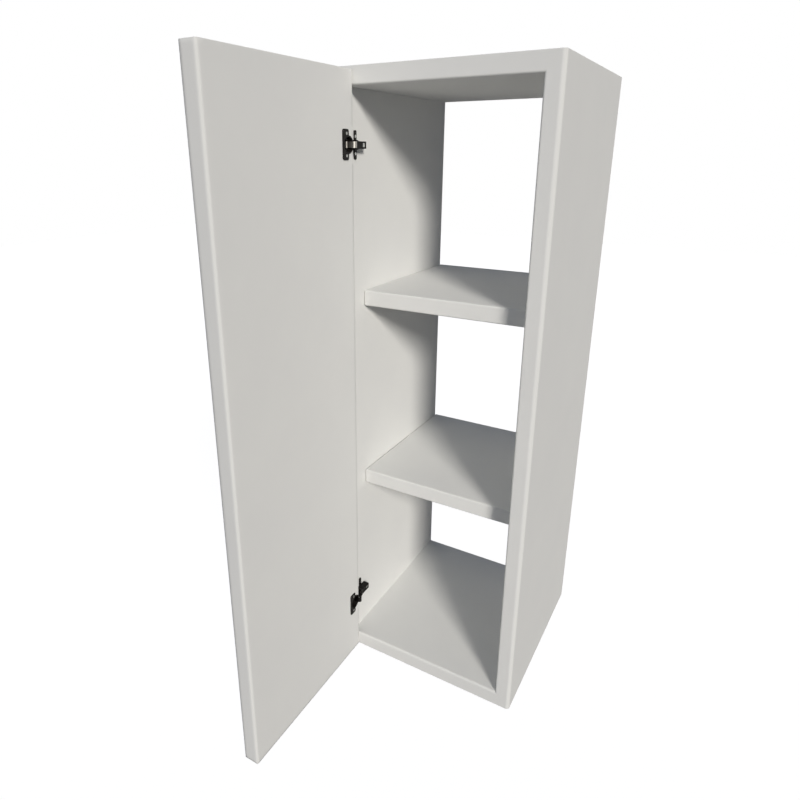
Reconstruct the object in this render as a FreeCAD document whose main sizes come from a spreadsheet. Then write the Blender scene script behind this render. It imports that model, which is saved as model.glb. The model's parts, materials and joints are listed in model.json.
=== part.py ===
import FreeCAD, Part
import os
import Sketcher

# Wall cabinet: an open-backed carcass of lacquered board with two loose shelves and one slab door,
# which stands open a quarter turn on two concealed cup hinges.
# Frame in millimetres: X to the right, Y from the front towards the wall, Z up.
# The origin lies on the wall plane, midway between the two keyholes that the cabinet hangs by.

doc = FreeCAD.newDocument("wall_cabinet")

# Driving dimensions: name, value, what it measures.
DRIVING = [
    ("carcass_width", 300, "outside, across both sides"),
    ("carcass_depth", 300, "front edges to wall"),
    ("carcass_height", 900, "outside, bottom to top"),
    ("board", 23, "thickness of sides, top and bottom"),
    ("edge_radius", 5.5, "rounding of the sides' outer front edges"),
    ("inner_edge_radius", 3, "rounding of the front edges round the opening"),
    ("top_easing", 1, "square-cut upper ends of the carcass and the door"),
    ("foot_easing", 0.8, "lower ends of the carcass and the door"),
    ("shelf_board", 23, "thickness of a shelf"),
    ("shelf_edge_radius", 2, "rounding of a shelf's front edges"),
    ("shelf_end_radius", 1.8, "rounding of the edges round a shelf's ends"),
    ("lower_bay", 267, "bottom panel to the lower shelf"),
    ("middle_bay", 271, "lower shelf to the upper shelf"),
    ("shelf_setback", 40, "shelf front behind the carcass front"),
    ("shelf_end_gap", 0.75, "play at each end of a shelf"),
    ("door_board", 23, "thickness of the door"),
    ("door_edge_radius", 1.8, "rounding of the door's upright edges"),
    ("hinge_edge_radius", 4, "rounding of the door's inner edge beside the hinge cups"),
    ("door_overlap", 2, "shut door past the opening at its hinges"),
    ("door_free_overlap", 5, "shut door past the opening at its free edge"),
    ("door_top_reveal", 4.7, "door short of the carcass at the top"),
    ("door_foot_reveal", 3.5, "door short of the carcass at the bottom"),
    ("door_front_gap", 2.6, "shut door to carcass front"),
    ("door_open_gap", 1, "open door's hinge edge to carcass front"),
    ("dowel_radius", 4, "wooden dowel"),
    ("dowel_length", 34, "wooden dowel"),
    ("dowel_in_side", 12, "length of a dowel inside the side panel"),
    ("dowel_end_gap", 1, "glue room beyond each end of a dowel"),
    ("cam_inset", 50, "cam joint to the front and to the wall"),
    ("dowel_pitch", 32, "cam joint to its dowel"),
    ("cam_radius", 7.5, "bore of the cam housing"),
    ("cam_setback", 24, "centre of the cam to the side panel"),
    ("cam_below_axis", 5.5, "cam bore beyond the bolt's axis"),
    ("cam_fit_gap", 0.05, "cam housing in its bore"),
    ("cam_slot_length", 9, "driver cross in the cam"),
    ("cam_slot_width", 1.8, "driver cross in the cam"),
    ("cam_slot_depth", 2, "driver cross in the cam"),
    ("bolt_thread_radius", 3, "cam bolt in the side panel"),
    ("bolt_thread_length", 11, "cam bolt in the side panel"),
    ("bolt_collar_radius", 3.7, "cam bolt's stop on the side panel"),
    ("bolt_collar_length", 3, "cam bolt's stop on the side panel"),
    ("bolt_shank_radius", 2.8, "cam bolt"),
    ("bolt_neck_radius", 2.1, "cam bolt where the cam grips it"),
    ("bolt_neck_length", 4, "cam bolt where the cam grips it"),
    ("bolt_head_radius", 3.1, "cam bolt's head inside the cam"),
    ("bolt_head_length", 4, "cam bolt's head inside the cam"),
    ("bolt_bore_gap", 0.3, "bore in the panel's end round the collar"),
    ("cam_grip_gap", 0.3, "cam pocket round the bolt's head and neck"),
    ("thread_gap", 0.05, "screw thread in its pilot hole"),
    ("pilot_end_gap", 0.5, "pilot hole beyond the screw's tip"),
    ("pin_hole_radius", 2.5, "shank of a shelf pin"),
    ("shelf_pin_in_side", 9, "shank of a shelf pin"),
    ("shelf_pin_collar_radius", 4, "stop of a shelf pin"),
    ("shelf_pin_collar_length", 1.5, "stop of a shelf pin"),
    ("shelf_pin_ledge_radius", 3, "ledge of a shelf pin"),
    ("shelf_pin_ledge_length", 8, "ledge of a shelf pin"),
    ("shelf_pin_flat", 1.5, "flat of a shelf pin above its axis"),
    ("shelf_pin_front_inset", 50, "front pins behind the shelf's front"),
    ("shelf_pin_rear_inset", 40, "rear pins from the wall"),
    ("hanger_drop", 60, "keyhole entry below the carcass top"),
    ("hanger_plate_width", 14, "keyhole plate"),
    ("hanger_plate_thickness", 2, "keyhole plate"),
    ("hanger_corner_radius", 4, "keyhole plate"),
    ("hanger_fit_gap", 0.1, "keyhole plate in its housing"),
    ("keyhole_entry_radius", 4.75, "takes the wall screw's head"),
    ("keyhole_slot_radius", 2.5, "takes the wall screw's shank"),
    ("keyhole_slot_rise", 12, "drop of the cabinet onto the wall screw"),
    ("keyhole_room_depth", 10, "hollow behind the keyhole plate"),
    ("keyhole_room_margin", 1, "hollow round the keyhole"),
    ("hanger_screw_margin", 8.5, "keyhole to its plate's screws"),
    ("hanger_end_margin", 6, "plate screws to the plate's ends"),
    ("hanger_screw_head_radius", 3, "countersunk"),
    ("hanger_screw_radius", 1.5, "shank"),
    ("hanger_screw_length", 16, "below the plate"),
    ("upper_hinge_drop", 93.5, "upper hinge centre below the carcass's top"),
    ("lower_hinge_rise", 97.5, "lower hinge centre above the carcass's bottom"),
    ("pivot_depth", 6.4, "hinge pin below the door's inner face"),
    ("pivot_pin_radius", 1.2, "hinge pin"),
    ("pivot_running_gap", 0.05, "hinge arm round its pin"),
    ("pivot_pin_proud", 0.4, "pin beyond the cup's ears"),
    ("knuckle_radius", 2.2, "eye of the hinge arm"),
    ("knuckle_gap", 0.42, "eye of the hinge arm to the cup's wall"),
    ("cup_radius", 10.5, "bore for the hinge cup"),
    ("cup_depth", 11, "hinge cup below the door's face"),
    ("cup_wall", 0.8, "hinge cup"),
    ("cup_fit_gap", 0.1, "hinge cup in its bore"),
    ("cup_rim", 0.8, "lip of the cup over the edge of its bore"),
    ("flange_thickness", 1.2, "cup flange on the door"),
    ("flange_width", 13.5, "cup flange across the door"),
    ("flange_offset", 6, "cup flange beyond the cup's centre"),
    ("flange_corner_radius", 3, "cup flange"),
    ("cup_screw_margin", 3, "cup screw outside the cup's bore"),
    ("cup_screw_end_margin", 5.2, "cup screw to the flange's end"),
    ("cup_screw_setback", 4.1, "cup screw beyond the cup's centre"),
    ("cup_screw_head_radius", 1.8, "countersunk"),
    ("cup_screw_radius", 1.2, "shank"),
    ("cup_screw_length", 11, "below the flange"),
    ("ear_gap", 0.4, "cup's ear to the hinge arm"),
    ("ear_thickness", 2, "cup's ear"),
    ("ear_wall", 1, "cup's ear round the pin"),
    ("spring_thickness", 0.5, "leaf in the cup"),
    ("spring_width", 6, "leaf in the cup"),
    ("spring_tail", 8, "leaf along the cup's floor"),
    ("spring_gap", 0.35, "leaf to the arm's eye"),
    ("arm_width", 7.8, "hinge arm, up and down"),
    ("arm_thickness", 2, "hinge arm's strip"),
    ("arm_reach", 31, "end of the arm behind the carcass front"),
    ("neck_clearance", 2.5, "goose-neck round the cup's lip"),
    ("neck_root_angle", 6, "degrees, where the neck leaves the eye"),
    ("neck_end_angle", 70, "degrees, where the neck turns back"),
    ("neck_corner_radius", 1.5, "tight inner bend of the neck"),
    ("neck_back_radius", 2.5, "bend from the neck into the strip"),
    ("boss_centre", 8.5, "mounting plate's round boss behind the carcass front"),
    ("boss_radius", 6.15, "mounting plate's round boss"),
    ("plate_block_width", 7.6, "mounting plate's block, up and down"),
    ("wing_centre", 19.6, "mounting plate's wing behind the carcass front"),
    ("wing_width", 5, "mounting plate's wing, front to rear"),
    ("wing_thickness", 1.8, "mounting plate's wing"),
    ("wing_corner_radius", 2.3, "mounting plate's wing"),
    ("plate_screw_spacing", 22, "between the wing's two screws"),
    ("wing_end_margin", 7.5, "wing's screws to its ends"),
    ("plate_screw_head_radius", 1.8, "countersunk"),
    ("plate_screw_radius", 1.2, "shank"),
    ("plate_screw_length", 14, "below the wing"),
    ("screw_tip", 2, "point of a wood screw"),
    ("screw_tip_radius", 0.2, "blunt end of the point"),
    ("recess_width", 0.6, "driver cross in a screw head"),
    ("recess_depth", 0.8, "driver cross in a screw head"),
    ("arm_screw_head_radius", 2.6, "screws that hold and adjust the arm"),
    ("arm_screw_head_height", 1.3, "screws that hold and adjust the arm"),
    ("arm_screw_radius", 1.9, "screws that hold and adjust the arm"),
    ("arm_screw_length", 6, "below the arm"),
    ("fixing_screw_from_end", 4.5, "to the end of the arm"),
    ("adjusting_screw_from_end", 15.5, "to the end of the arm"),
    ("cover_gap", 0.1, "arm cover to the arm"),
    ("cover_wall", 0.6, "arm cover"),
    ("cover_front", 7.4, "arm cover behind the carcass front"),
    ("cover_window_length", 6.4, "window over the fixing screw, front to rear"),
    ("cover_window_height", 5.2, "window over the fixing screw, up and down"),
    ("cover_edge_radius", 0.4, "arm cover's outer edges"),
]

# Places worked out from the driving dimensions.
WORKED_OUT = [
    ("left_face", "-sizes.carcass_width / 2"),
    ("right_face", "sizes.carcass_width / 2"),
    ("left_inner", "left_face + sizes.board"),
    ("right_inner", "right_face - sizes.board"),
    ("inner_width", "right_inner - left_inner"),
    ("front_face", "-sizes.carcass_depth"),
    ("top_face", "sizes.hanger_drop"),
    ("bottom_face", "top_face - sizes.carcass_height"),
    ("top_under", "top_face - sizes.board"),
    ("bottom_upper", "bottom_face + sizes.board"),
    ("inner_height", "top_under - bottom_upper"),
    ("lower_shelf_under", "bottom_upper + sizes.lower_bay"),
    ("upper_shelf_under", "lower_shelf_under + sizes.shelf_board + sizes.middle_bay"),
    ("shelf_front", "front_face + sizes.shelf_setback"),
    ("shelf_width", "inner_width - 2 * sizes.shelf_end_gap"),
    ("front_cam_y", "front_face + sizes.cam_inset"),
    ("rear_cam_y", "-sizes.cam_inset"),
    ("front_dowel_y", "front_cam_y + sizes.dowel_pitch"),
    ("rear_dowel_y", "rear_cam_y - sizes.dowel_pitch"),
    ("dowel_in_panel", "sizes.dowel_length - sizes.dowel_in_side"),
    ("cam_depth", "sizes.board / 2 + sizes.cam_below_axis"),
    ("bolt_reach", "sizes.cam_setback + sizes.bolt_head_length / 2"),
    ("bolt_neck_start", "bolt_reach - sizes.bolt_head_length - sizes.bolt_neck_length"),
    ("pin_front_y", "shelf_front + sizes.shelf_pin_front_inset"),
    ("pin_rear_y", "-sizes.shelf_pin_rear_inset"),
    ("shelf_pin_reach", "sizes.shelf_pin_collar_length + sizes.shelf_pin_ledge_length"),
    ("left_middle", "left_face + sizes.board / 2"),
    ("right_middle", "right_face - sizes.board / 2"),
    ("hanger_low_screw", "-sizes.keyhole_entry_radius - sizes.hanger_screw_margin"),
    ("keyhole_top", "sizes.keyhole_slot_rise + sizes.keyhole_slot_radius"),
    ("hanger_high_screw", "keyhole_top + sizes.hanger_screw_margin"),
    ("hanger_low_end", "hanger_low_screw - sizes.hanger_end_margin"),
    ("hanger_height", "hanger_high_screw + sizes.hanger_end_margin - hanger_low_end"),
    ("keyhole_room_half", "sizes.keyhole_entry_radius + sizes.keyhole_room_margin"),
    ("pivot_from_edge", "sizes.pivot_depth + sizes.door_front_gap - sizes.door_open_gap"),
    ("pivot_x", "left_inner - sizes.door_overlap + pivot_from_edge"),
    ("pivot_y", "front_face - sizes.door_front_gap - sizes.pivot_depth"),
    ("upper_hinge_z", "top_face - sizes.upper_hinge_drop"),
    ("lower_hinge_z", "bottom_face + sizes.lower_hinge_rise"),
    ("door_width", "inner_width + sizes.door_overlap + sizes.door_free_overlap"),
    ("door_height", "sizes.carcass_height - sizes.door_top_reveal - sizes.door_foot_reveal"),
    ("door_bottom", "bottom_face + sizes.door_foot_reveal"),
    ("door_inner_x", "pivot_x + sizes.pivot_depth"),
    ("door_hinge_edge_y", "pivot_y + pivot_from_edge"),
    ("cup_outer_radius", "sizes.cup_radius - sizes.cup_fit_gap"),
    ("cup_inner_radius", "cup_outer_radius - sizes.cup_wall"),
    ("cup_rim_radius", "sizes.cup_radius + sizes.cup_rim"),
    ("cup_floor", "sizes.cup_wall - sizes.cup_depth"),
    ("arm_half", "sizes.arm_width / 2"),
    ("cup_chord", "sqrt(cup_inner_radius^2 - arm_half^2)"),
    ("pivot_to_cup", "cup_chord - sizes.knuckle_radius - sizes.knuckle_gap"),
    ("cup_y", "pivot_y - pivot_to_cup"),
    ("cup_screw_offset", "sizes.cup_radius + sizes.cup_screw_margin"),
    ("flange_height", "2 * (cup_screw_offset + sizes.cup_screw_end_margin)"),
    ("ear_half", "sizes.pivot_pin_radius + sizes.ear_wall"),
    ("ear_start", "arm_half + sizes.ear_gap"),
    ("ear_end", "ear_start + sizes.ear_thickness"),
    ("pin_half", "ear_end + sizes.pivot_pin_proud"),
    ("spring_top", "-sizes.pivot_depth - sizes.knuckle_radius - sizes.spring_gap"),
    ("spring_under", "spring_top - sizes.spring_thickness"),
    ("spring_bend", "sizes.knuckle_radius - pivot_to_cup"),
    ("spring_rise", "spring_under - cup_floor"),
    ("spring_slope_length", "sqrt(spring_bend^2 + spring_rise^2)"),
    ("spring_slope", "atan2(spring_rise; -spring_bend) / (1 deg)"),
    ("lip_run", "cup_rim_radius - pivot_to_cup"),
    ("lip_rise", "sizes.pivot_depth + sizes.flange_thickness"),
    ("lip_reach", "sqrt(lip_run^2 + lip_rise^2)"),
    ("corner_run", "pivot_from_edge - sizes.hinge_edge_radius"),
    ("corner_rise", "sizes.pivot_depth - sizes.hinge_edge_radius"),
    ("corner_reach", "sqrt(corner_run^2 + corner_rise^2) + sizes.hinge_edge_radius"),
    ("neck_inner_radius", "max(lip_reach; corner_reach) + sizes.neck_clearance"),
    ("neck_outer_radius", "neck_inner_radius + sizes.arm_thickness"),
    ("neck_corner_centre", "neck_inner_radius - sizes.neck_corner_radius"),
    ("neck_corner_rise", "sizes.arm_thickness / 2 + sizes.neck_corner_radius"),
    ("neck_corner_run", "sqrt(neck_corner_centre^2 - neck_corner_rise^2)"),
    ("neck_corner_angle", "atan2(neck_corner_rise; neck_corner_run) / (1 deg)"),
    ("neck_start_angle", "sizes.neck_root_angle + neck_corner_angle"),
    ("neck_corner_x", "pivot_x + neck_corner_centre * cos(neck_start_angle)"),
    ("neck_corner_y", "pivot_y + neck_corner_centre * sin(neck_start_angle)"),
    ("neck_back_centre", "neck_outer_radius + sizes.neck_back_radius"),
    ("neck_back_x", "pivot_x + neck_back_centre * cos(sizes.neck_end_angle)"),
    ("neck_back_y", "pivot_y + neck_back_centre * sin(sizes.neck_end_angle)"),
    ("neck_corner_outer", "sizes.neck_corner_radius + sizes.arm_thickness"),
    ("neck_back_outer", "sizes.neck_back_radius + sizes.arm_thickness"),
    ("root_x", "pivot_x + sizes.arm_thickness / 2 * sin(sizes.neck_root_angle)"),
    ("root_y", "pivot_y - sizes.arm_thickness / 2 * cos(sizes.neck_root_angle)"),
    ("arm_under", "neck_back_x - neck_back_outer"),
    ("arm_upper", "arm_under + sizes.arm_thickness"),
    ("arm_end", "front_face + sizes.arm_reach"),
    ("boss_y", "front_face + sizes.boss_centre"),
    ("wing_y", "front_face + sizes.wing_centre"),
    ("wing_height", "sizes.plate_screw_spacing + 2 * sizes.wing_end_margin"),
    ("wing_upper", "left_inner + sizes.wing_thickness"),
    ("fixing_screw_y", "arm_end - sizes.fixing_screw_from_end"),
    ("adjusting_screw_y", "arm_end - sizes.adjusting_screw_from_end"),
    ("arm_screw_hole_radius", "sizes.arm_screw_radius + sizes.thread_gap"),
    ("cover_start", "front_face + sizes.cover_front"),
    ("cover_end", "arm_end + sizes.cover_gap + sizes.cover_wall"),
    ("cover_roof", "arm_upper + sizes.arm_screw_head_height + sizes.cover_gap"),
    ("cover_upper", "cover_roof + sizes.cover_wall"),
    ("cover_inner_half", "max(arm_half; sizes.plate_block_width / 2) + sizes.cover_gap"),
    ("cover_half", "cover_inner_half + sizes.cover_wall"),
]


def fill_sheet(name, rows):
    """Write one named cell per row: a label in column A and the value or formula in column B."""
    sheet = doc.addObject("Spreadsheet::Sheet", name)
    for number, (alias, content) in enumerate(rows, start=1):
        sheet.set(f"A{number}", alias)
        sheet.set(f"B{number}", content)
        sheet.setAlias(f"B{number}", alias)
    return sheet


sizes = fill_sheet("sizes", [(alias, str(value)) for alias, value, meaning in DRIVING])
for number, (alias, value, meaning) in enumerate(DRIVING, start=1):
    sizes.set(f"C{number}", meaning)
places = fill_sheet("places", [(alias, "=" + formula) for alias, formula in WORKED_OUT])
doc.recompute()

# Ways to turn a piece that is built along its own Z axis.
ALONG_X = FreeCAD.Rotation(FreeCAD.Vector(0, 1, 0), 90)
TO_FRONT = FreeCAD.Rotation(FreeCAD.Vector(1, 0, 0), 90)
TO_REAR = FreeCAD.Rotation(FreeCAD.Vector(1, 0, 0), -90)
# The open door's own frame: X along its width, Y down, Z out of its inner face.
ON_DOOR = FreeCAD.Rotation(
    FreeCAD.Vector(0, -1, 0), FreeCAD.Vector(0, 0, -1), FreeCAD.Vector(1, 0, 0), "XYZ"
)
# Turned over, so that a hole drawn from above is cut from below.
TURNED_OVER = FreeCAD.Rotation(FreeCAD.Vector(1, 0, 0), 180)

nodes = []


def bind(obj, **formulas):
    """Tie properties of an object to formulas over the sheets' cells."""
    for name, formula in formulas.items():
        obj.setExpression(name, formula)
    return obj


def place(obj, x="0", y="0", z="0", turn=None):
    """Put an object at a place given by formulas, turned as told."""
    if turn is not None:
        obj.Placement = FreeCAD.Placement(FreeCAD.Vector(), turn)
    for axis, formula in zip("xyz", (x, y, z)):
        obj.setExpression(f"Placement.Base.{axis}", formula)
    return obj


def block(name, length, width, height, x="0", y="0", z="0", turn=None):
    """A plain box with one corner at the given place."""
    box = doc.addObject("Part::Box", name)
    bind(box, Length=length, Width=width, Height=height)
    return place(box, x, y, z, turn)


def rod(name, radius, length, x="0", y="0", z="0", turn=None):
    """A cylinder that starts at the given place."""
    cylinder = doc.addObject("Part::Cylinder", name)
    bind(cylinder, Radius=radius, Height=length)
    return place(cylinder, x, y, z, turn)


def taper(name, low_radius, high_radius, length, x="0", y="0", z="0", turn=None):
    """A cone that starts at the given place."""
    cone = doc.addObject("Part::Cone", name)
    bind(cone, Radius1=low_radius, Radius2=high_radius, Height=length)
    return place(cone, x, y, z, turn)


def join(name, pieces):
    """One solid made of overlapping pieces."""
    fused = doc.addObject("Part::MultiFuse", name)
    fused.Shapes = pieces
    return fused


def cut(name, base, tools):
    """The base with the tools taken away."""
    difference = doc.addObject("Part::Cut", name)
    difference.Base = base
    difference.Tool = tools[0] if len(tools) == 1 else join(name + "_tools", tools)
    return difference


def group(name, pieces):
    """Separate like pieces under one name."""
    compound = doc.addObject("Part::Compound", name)
    compound.Links = pieces
    return compound


def keep(node, obj):
    """Name a finished piece, to be written out at the end."""
    obj.Label = node
    nodes.append(obj)


def edge_names(shape, box, patterns):
    """The edges that lie in all the outer planes of a pattern such as 'x- y-'."""
    planes = {
        "x-": box.XMin,
        "x+": box.XMax,
        "y-": box.YMin,
        "y+": box.YMax,
        "z-": box.ZMin,
        "z+": box.ZMax,
    }
    tolerance = 0.001
    names = []
    for number, edge in enumerate(shape.Edges, start=1):
        points = [vertex.Point for vertex in edge.Vertexes]
        outer = {
            face
            for face, level in planes.items()
            if all(abs(getattr(point, face[0]) - level) < tolerance for point in points)
        }
        if any(outer.issuperset(pattern.split()) for pattern in patterns):
            names.append(f"Edge{number}")
    return names


def slab(name, length, width, height, roundings=(), x="0", y="0", z="0", turn=None):
    """A flat board or plate: a rectangle padded to its thickness, with chosen edges rounded."""
    body = doc.addObject("PartDesign::Body", name)
    outline = body.newObject("Sketcher::SketchObject", name + "_outline")
    ground = next(plane for plane in body.Origin.OriginFeatures if plane.Role == "XY_Plane")
    outline.AttachmentSupport = [(ground, "")]
    outline.MapMode = "FlatFace"
    corners = [FreeCAD.Vector(x, y, 0) for x, y in ((0, 0), (1, 0), (1, 1), (0, 1))]
    sides = [Part.LineSegment(corners[i], corners[(i + 1) % 4]) for i in range(4)]
    outline.addGeometry(sides, False)
    for i in range(4):
        outline.addConstraint(Sketcher.Constraint("Coincident", i, 2, (i + 1) % 4, 1))
        outline.addConstraint(Sketcher.Constraint("Vertical" if i % 2 else "Horizontal", i))
    outline.addConstraint(Sketcher.Constraint("Coincident", 0, 1, -1, 1))
    along = outline.addConstraint(Sketcher.Constraint("DistanceX", 0, 1, 0, 2, 1))
    across_it = outline.addConstraint(Sketcher.Constraint("DistanceY", 1, 1, 1, 2, 1))
    outline.setExpression(f"Constraints[{along}]", length)
    outline.setExpression(f"Constraints[{across_it}]", width)
    pad = body.newObject("PartDesign::Pad", name + "_pad")
    pad.Profile = outline
    bind(pad, Length=height)
    solid = pad
    for number, (patterns, radius) in enumerate(roundings):
        doc.recompute()
        rounding = body.newObject("PartDesign::Fillet", f"{name}_rounding_{number}")
        rounding.Base = (solid, edge_names(solid.Shape, pad.Shape.BoundBox, patterns))
        bind(rounding, Radius=radius)
        solid = rounding
    return place(body, x, y, z, turn)


def across(name, side, begin, end, radius, y, z):
    """A round length along X, measured from a side panel's inner face into its board."""
    start = f"places.left_inner - ({end})" if side == "left" else f"places.right_inner + ({begin})"
    return rod(name, radius, f"({end}) - ({begin})", start, y, z, ALONG_X)


def driver_cross(name, length, width, depth):
    """The crossed slots of a screw head or cam, cut down from Z = 0."""
    half = f"-({length}) / 2"
    middle = f"-({width}) / 2"
    first = block(name + "_first", length, width, f"2 * ({depth})", half, middle, f"-({depth})")
    second = block(name + "_second", width, length, f"2 * ({depth})", middle, half, f"-({depth})")
    return join(name, [first, second])


def wood_screw(name, head_radius, radius, head_height, length):
    """A countersunk wood screw that points down from its head's top at Z = 0."""
    shank_length = f"{length} - sizes.screw_tip"
    head = taper(name + "_head", radius, head_radius, head_height, z=f"-{head_height}")
    shank = rod(name + "_shank", radius, shank_length, z=f"-{head_height} - ({shank_length})")
    tip = f"-{head_height} - {length}"
    point = taper(name + "_point", "sizes.screw_tip_radius", radius, "sizes.screw_tip", z=tip)
    recess = driver_cross(name + "_recess", head_radius, "sizes.recess_width", "sizes.recess_depth")
    return cut(name, join(name + "_blank", [head, shank, point]), [recess])


def countersink(name, head_radius, radius, head_height, x="0", y="0", z="0", turn=None):
    """The hole of a countersunk head through a plate whose upper face is at Z = 0."""
    cone = taper(name + "_cone", radius, head_radius, head_height, z=f"-{head_height}")
    hole = rod(name + "_hole", f"{radius} + sizes.thread_gap", f"2 * {head_height}", z=f"-2 * {head_height}")
    return place(join(name, [cone, hole]), x, y, z, turn)


def pilot(name, radius, length, x="0", y="0", z="0", turn=None):
    """The hole in a board for a wood screw, a little wider and deeper than the screw."""
    return rod(name, f"{radius} + sizes.thread_gap", f"{length} + sizes.pilot_end_gap", x, y, z, turn)


# Joints of the carcass: a cam bolt and a dowel near the front and near the wall, at each of four corners.
side_holes = {"left": [], "right": []}
panel_holes = {"top": [], "bottom": []}
dowels = []
cam_bolts = []
cam_housings = []
PANEL_MIDDLE = {"top": "places.top_face - sizes.board / 2", "bottom": "places.bottom_face + sizes.board / 2"}
CAM_BASE = {"top": "places.top_face - places.cam_depth", "bottom": "places.bottom_face"}
CAM_DRIVE = {"top": "places.top_face", "bottom": "places.bottom_face"}
CAM_CENTRE = {
    "left": "places.left_inner + sizes.cam_setback",
    "right": "places.right_inner - sizes.cam_setback",
}

for panel in ("top", "bottom"):
    axis_z = PANEL_MIDDLE[panel]
    for side in ("left", "right"):
        for end in ("front", "rear"):
            joint = f"{panel}_{side}_{end}"
            dowel_y = f"places.{end}_dowel_y"
            cam_y = f"places.{end}_cam_y"
            into_panel = "-places.dowel_in_panel"
            into_side = "sizes.dowel_in_side"
            radius = "sizes.dowel_radius"
            dowels.append(across(joint + "_dowel", side, into_panel, into_side, radius, dowel_y, axis_z))
            side_depth = f"{into_side} + sizes.dowel_end_gap"
            panel_depth = f"{into_panel} - sizes.dowel_end_gap"
            side_holes[side].append(
                across(joint + "_dowel_in_side", side, "0", side_depth, radius, dowel_y, axis_z)
            )
            panel_holes[panel].append(
                across(joint + "_dowel_in_panel", side, panel_depth, "0", radius, dowel_y, axis_z)
            )

            # The cam bolt is turned from one bar: thread, collar, shank, neck and head.
            far_end = "-places.bolt_reach"
            head_start = f"{far_end} + sizes.bolt_head_length"
            lengths = [
                ("thread", "0", "sizes.bolt_thread_length", "sizes.bolt_thread_radius"),
                ("collar", "-sizes.bolt_collar_length", "0", "sizes.bolt_collar_radius"),
                ("shank", "-places.bolt_neck_start", "-sizes.bolt_collar_length", "sizes.bolt_shank_radius"),
                ("neck", far_end, "-places.bolt_neck_start", "sizes.bolt_neck_radius"),
                ("head", far_end, head_start, "sizes.bolt_head_radius"),
            ]
            turned = [
                across(f"{joint}_bolt_{length}", side, begin, finish, radius, cam_y, axis_z)
                for length, begin, finish, radius in lengths
            ]
            cam_bolts.append(join(joint + "_bolt", turned))
            thread_radius = "sizes.bolt_thread_radius + sizes.thread_gap"
            thread_depth = "sizes.bolt_thread_length + sizes.pilot_end_gap"
            bore_radius = "sizes.bolt_collar_radius + sizes.bolt_bore_gap"
            side_holes[side].append(
                across(joint + "_bolt_in_side", side, "0", thread_depth, thread_radius, cam_y, axis_z)
            )
            panel_holes[panel].append(
                across(joint + "_bolt_in_panel", side, "-sizes.cam_setback", "0", bore_radius, cam_y, axis_z)
            )

            # The cam housing fills its bore from the panel's outer face and grips the bolt's head.
            centre_x = CAM_CENTRE[side]
            at_cam = (centre_x, cam_y, CAM_BASE[panel])
            bore = rod(joint + "_cam_bore", "sizes.cam_radius", "places.cam_depth", *at_cam)
            panel_holes[panel].append(bore)
            drum_radius = "sizes.cam_radius - sizes.cam_fit_gap"
            drum = rod(joint + "_cam_drum", drum_radius, "places.cam_depth", *at_cam)
            head_half = "(sizes.bolt_head_length / 2 + sizes.cam_grip_gap)"
            head_pocket = across(
                joint + "_cam_head_pocket",
                side,
                f"-sizes.cam_setback - {head_half}",
                f"-sizes.cam_setback + {head_half}",
                "sizes.bolt_head_radius + sizes.cam_grip_gap",
                cam_y,
                axis_z,
            )
            neck_way = across(
                joint + "_cam_neck_way",
                side,
                "-sizes.cam_setback",
                "sizes.cam_radius - sizes.cam_setback",
                "sizes.bolt_shank_radius + sizes.cam_grip_gap",
                cam_y,
                axis_z,
            )
            cross = driver_cross(
                joint + "_cam_cross", "sizes.cam_slot_length", "sizes.cam_slot_width", "sizes.cam_slot_depth"
            )
            place(cross, centre_x, cam_y, CAM_DRIVE[panel])
            cam_housings.append(cut(joint + "_cam", drum, [head_pocket, neck_way, cross]))

keep("carcass_dowels", group("dowel_set", dowels))
keep("cam_bolts", group("cam_bolt_set", cam_bolts))
keep("cam_housings", group("cam_housing_set", cam_housings))

# Shelves rest on the flats of four pins each, two in either side.
for level in ("upper", "lower"):
    shelf_under = f"places.{level}_shelf_under"
    keep(
        f"{level}_shelf",
        slab(
            f"{level}_shelf_board",
            "places.shelf_width",
            "-places.shelf_front",
            "sizes.shelf_board",
            [(["y- z+", "y- z-"], "sizes.shelf_edge_radius"), (["x-", "x+"], "sizes.shelf_end_radius")],
            "places.left_inner + sizes.shelf_end_gap",
            "places.shelf_front",
            shelf_under,
        ),
    )
    axis_z = f"{shelf_under} - sizes.shelf_pin_flat"
    pins = []
    for side, reach_start in (
        ("left", "places.left_inner"),
        ("right", "places.right_inner - places.shelf_pin_reach"),
    ):
        for end in ("front", "rear"):
            pin = f"{level}_{side}_{end}_pin"
            pin_y = f"places.pin_{end}_y"
            pin_steps = [
                ("shank", "0", "sizes.shelf_pin_in_side", "sizes.pin_hole_radius"),
                ("collar", "-sizes.shelf_pin_collar_length", "0", "sizes.shelf_pin_collar_radius"),
                ("ledge", "-places.shelf_pin_reach", "0", "sizes.shelf_pin_ledge_radius"),
            ]
            turned = [
                across(f"{pin}_{step}", side, begin, finish, radius, pin_y, axis_z)
                for step, begin, finish, radius in pin_steps
            ]
            above_flat = block(
                pin + "_above_flat",
                "places.shelf_pin_reach",
                "2 * sizes.shelf_pin_collar_radius",
                "sizes.shelf_pin_collar_radius",
                reach_start,
                f"{pin_y} - sizes.shelf_pin_collar_radius",
                shelf_under,
            )
            pins.append(cut(pin, join(pin + "_bar", turned), [above_flat]))
            hole_radius = "sizes.pin_hole_radius + sizes.thread_gap"
            hole_depth = "sizes.shelf_pin_in_side + sizes.pilot_end_gap"
            side_holes[side].append(across(pin + "_hole", side, "0", hole_depth, hole_radius, pin_y, axis_z))
    keep(f"{level}_shelf_pins", group(f"{level}_pin_set", pins))

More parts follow.
